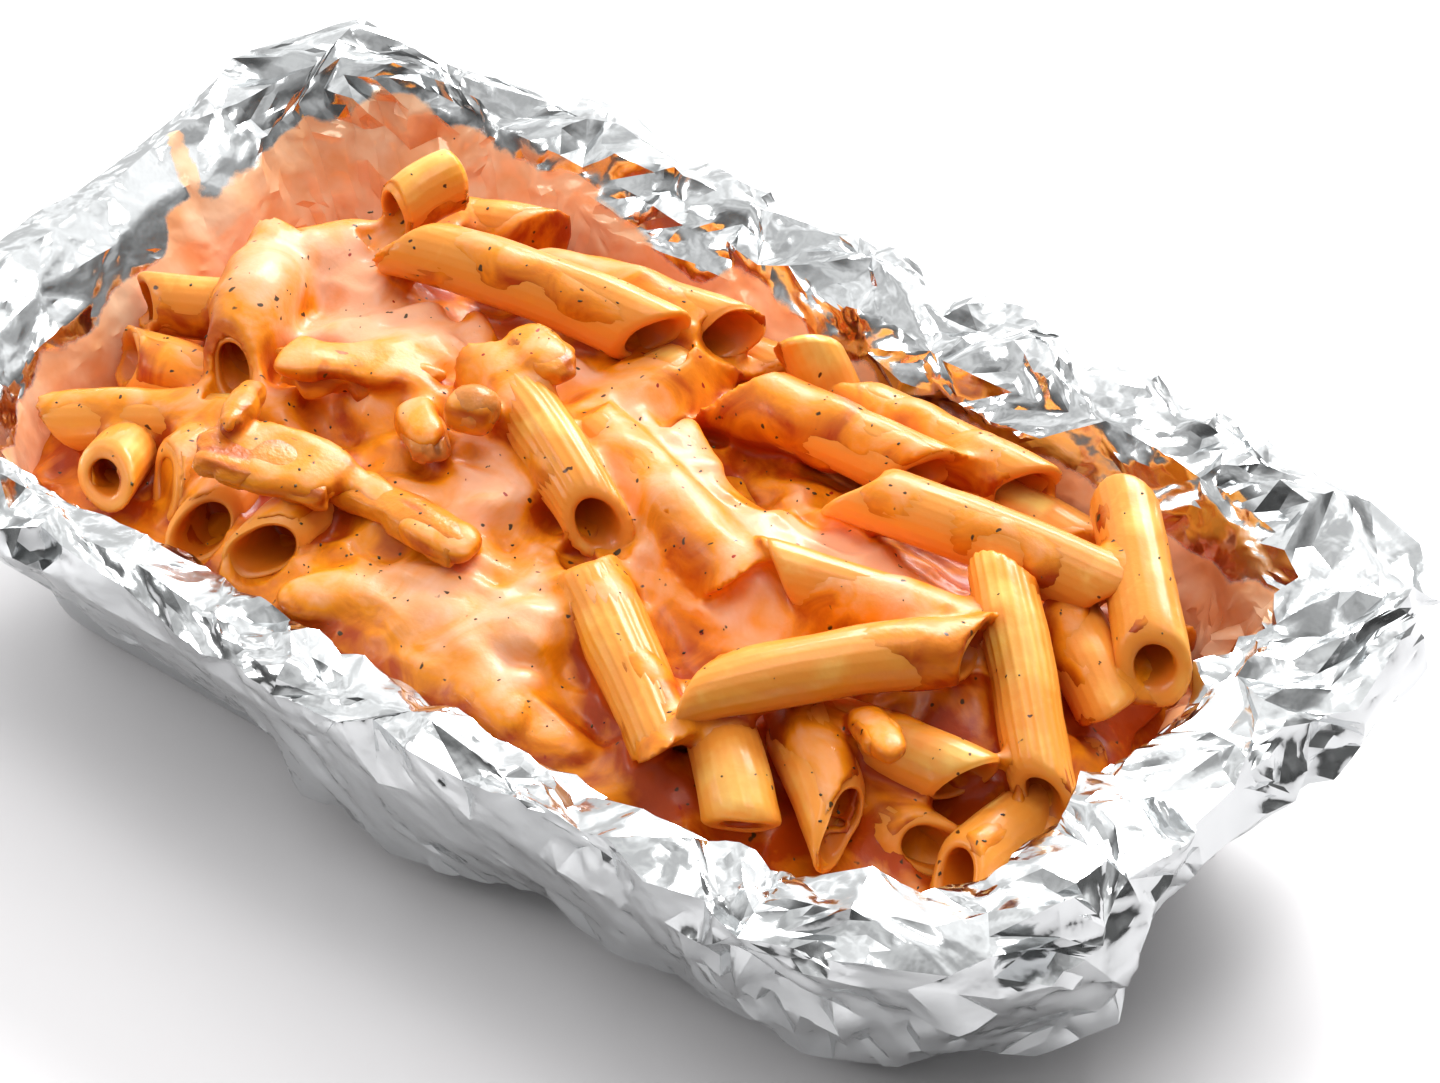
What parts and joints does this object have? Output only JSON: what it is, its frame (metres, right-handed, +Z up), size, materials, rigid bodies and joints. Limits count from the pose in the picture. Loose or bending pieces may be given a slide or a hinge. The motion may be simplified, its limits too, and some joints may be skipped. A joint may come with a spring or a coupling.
{
  "type": "foil tray meal",
  "caption": "Takeaway meal of penne, chicken and mushroom in a creamy tomato sauce, heaped in a pressed foil tray that is lined and wrapped with crumpled foil.",
  "frame": {"origin": "middle of the tray's flat underside", "axes": "+X along the tray's long side towards the end with the open pocket, +Y across to the far long side, +Z up"},
  "size_m": [0.2356, 0.1387, 0.0606],
  "materials": {
    "tray_foil": "smooth pressed foil, satin",
    "crumpled_foil": "bright household foil, crumpled, sauce smeared inside",
    "penne": "cooked pasta, wet with sauce",
    "sauce": "thick creamy tomato sauce, glossy",
    "chicken": "shredded cooked chicken, coated in sauce",
    "mushroom": "cooked mushroom, brown and wet"
  },
  "bodies": {
    "root": {"tray": "tray_foil", "foil_wrap": "crumpled_foil", "penne_heap": "penne", "sauce": "sauce", "chicken_slab": "chicken", "chicken_strip": "chicken", "chicken_curl": "chicken", "chicken_upright": "chicken", "chicken_torn": "chicken", "chicken_near": "chicken", "mushroom_round": "mushroom", "mushroom_dark": "mushroom"}
  },
  "joints": []
}
